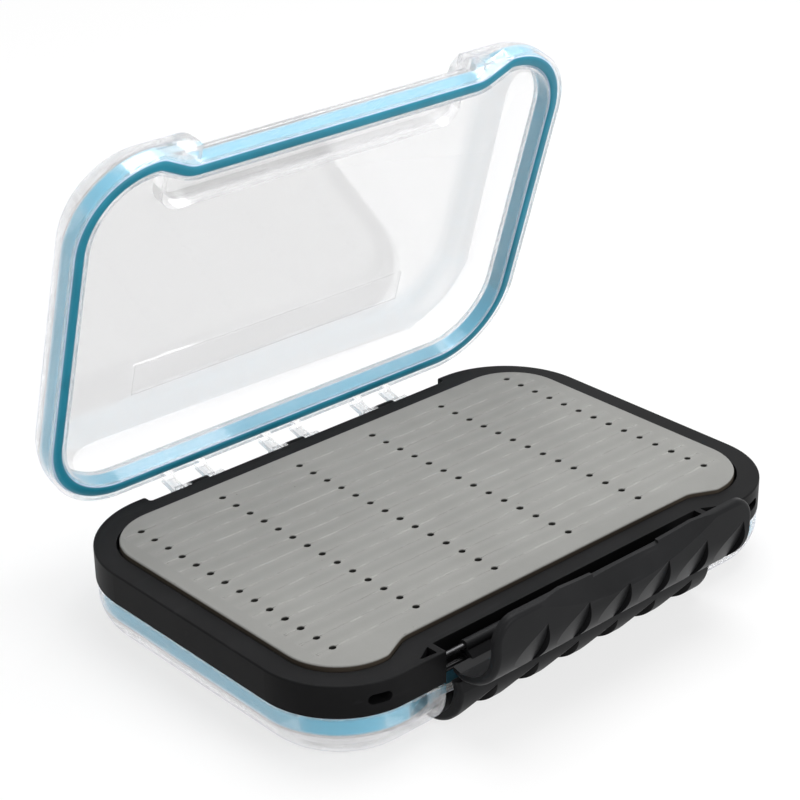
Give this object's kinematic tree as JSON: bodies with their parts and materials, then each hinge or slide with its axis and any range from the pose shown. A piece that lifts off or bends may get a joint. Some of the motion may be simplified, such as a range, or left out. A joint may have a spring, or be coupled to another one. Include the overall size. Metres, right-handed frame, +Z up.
{
  "type": "lure box",
  "caption": "Double-sided waterproof lure box: slit-foam pads on a middle frame, a clear gasketed lid on each side, ribbed snap latches and a shared pin hinge",
  "frame": {"origin": "on the plane that the box stands on (bottom face of the lower lid), under the middle of the foam pads' hole grid", "axes": "+X along the length of the box, +Y from the latches to the hinge, +Z up, from the lower lid to the upper lid"},
  "size_m": [0.185, 0.1578, 0.1435],
  "materials": {
    "frame_plastic": "moulded charcoal plastic, semi-gloss",
    "latch_plastic": "moulded charcoal plastic, satin, ribbed",
    "clear_lid": "clear moulded plastic, polished",
    "blue_silicone": "blue-green silicone rubber",
    "grey_foam": "closed-cell grey foam with slits and holes",
    "adhesive": "thin double-sided adhesive sheet",
    "pin_steel": "blackened steel wire"
  },
  "bodies": {
    "frame": {"centre_frame": "frame_plastic", "upper_foam_pad": "grey_foam", "lower_foam_pad": "grey_foam", "upper_foam_adhesive": "adhesive", "lower_foam_adhesive": "adhesive", "upper_latch_pin": "pin_steel", "lower_latch_pin": "pin_steel", "hinge_pin_left": "pin_steel", "hinge_pin_centre": "pin_steel", "hinge_pin_right": "pin_steel"},
    "upper_lid_body": {"upper_lid": "clear_lid", "upper_gasket": "blue_silicone"},
    "lower_lid_body": {"lower_lid": "clear_lid", "lower_gasket": "blue_silicone"},
    "upper_latch_body": {"upper_latch": "latch_plastic"},
    "lower_latch_body": {"lower_latch": "latch_plastic"}
  },
  "joints": [
    {"name": "upper_lid_hinge", "type": "hinge", "parent": "frame", "child": "upper_lid_body", "pos_m": [0, 0.0622, 0.021], "axis": [-1, 0, 0], "range_deg": [-73, 17]},
    {"name": "lower_lid_hinge", "type": "hinge", "parent": "frame", "child": "lower_lid_body", "pos_m": [0, 0.0622, 0.021], "axis": [1, 0, 0], "range_deg": [0, 90]},
    {"name": "upper_latch_hinge", "type": "hinge", "parent": "frame", "child": "upper_latch_body", "pos_m": [0, -0.0604, 0.023], "axis": [1, 0, 0], "range_deg": [-90, 0]},
    {"name": "lower_latch_hinge", "type": "hinge", "parent": "frame", "child": "lower_latch_body", "pos_m": [0, -0.0604, 0.019], "axis": [-1, 0, 0], "range_deg": [0, 13]}
  ]
}
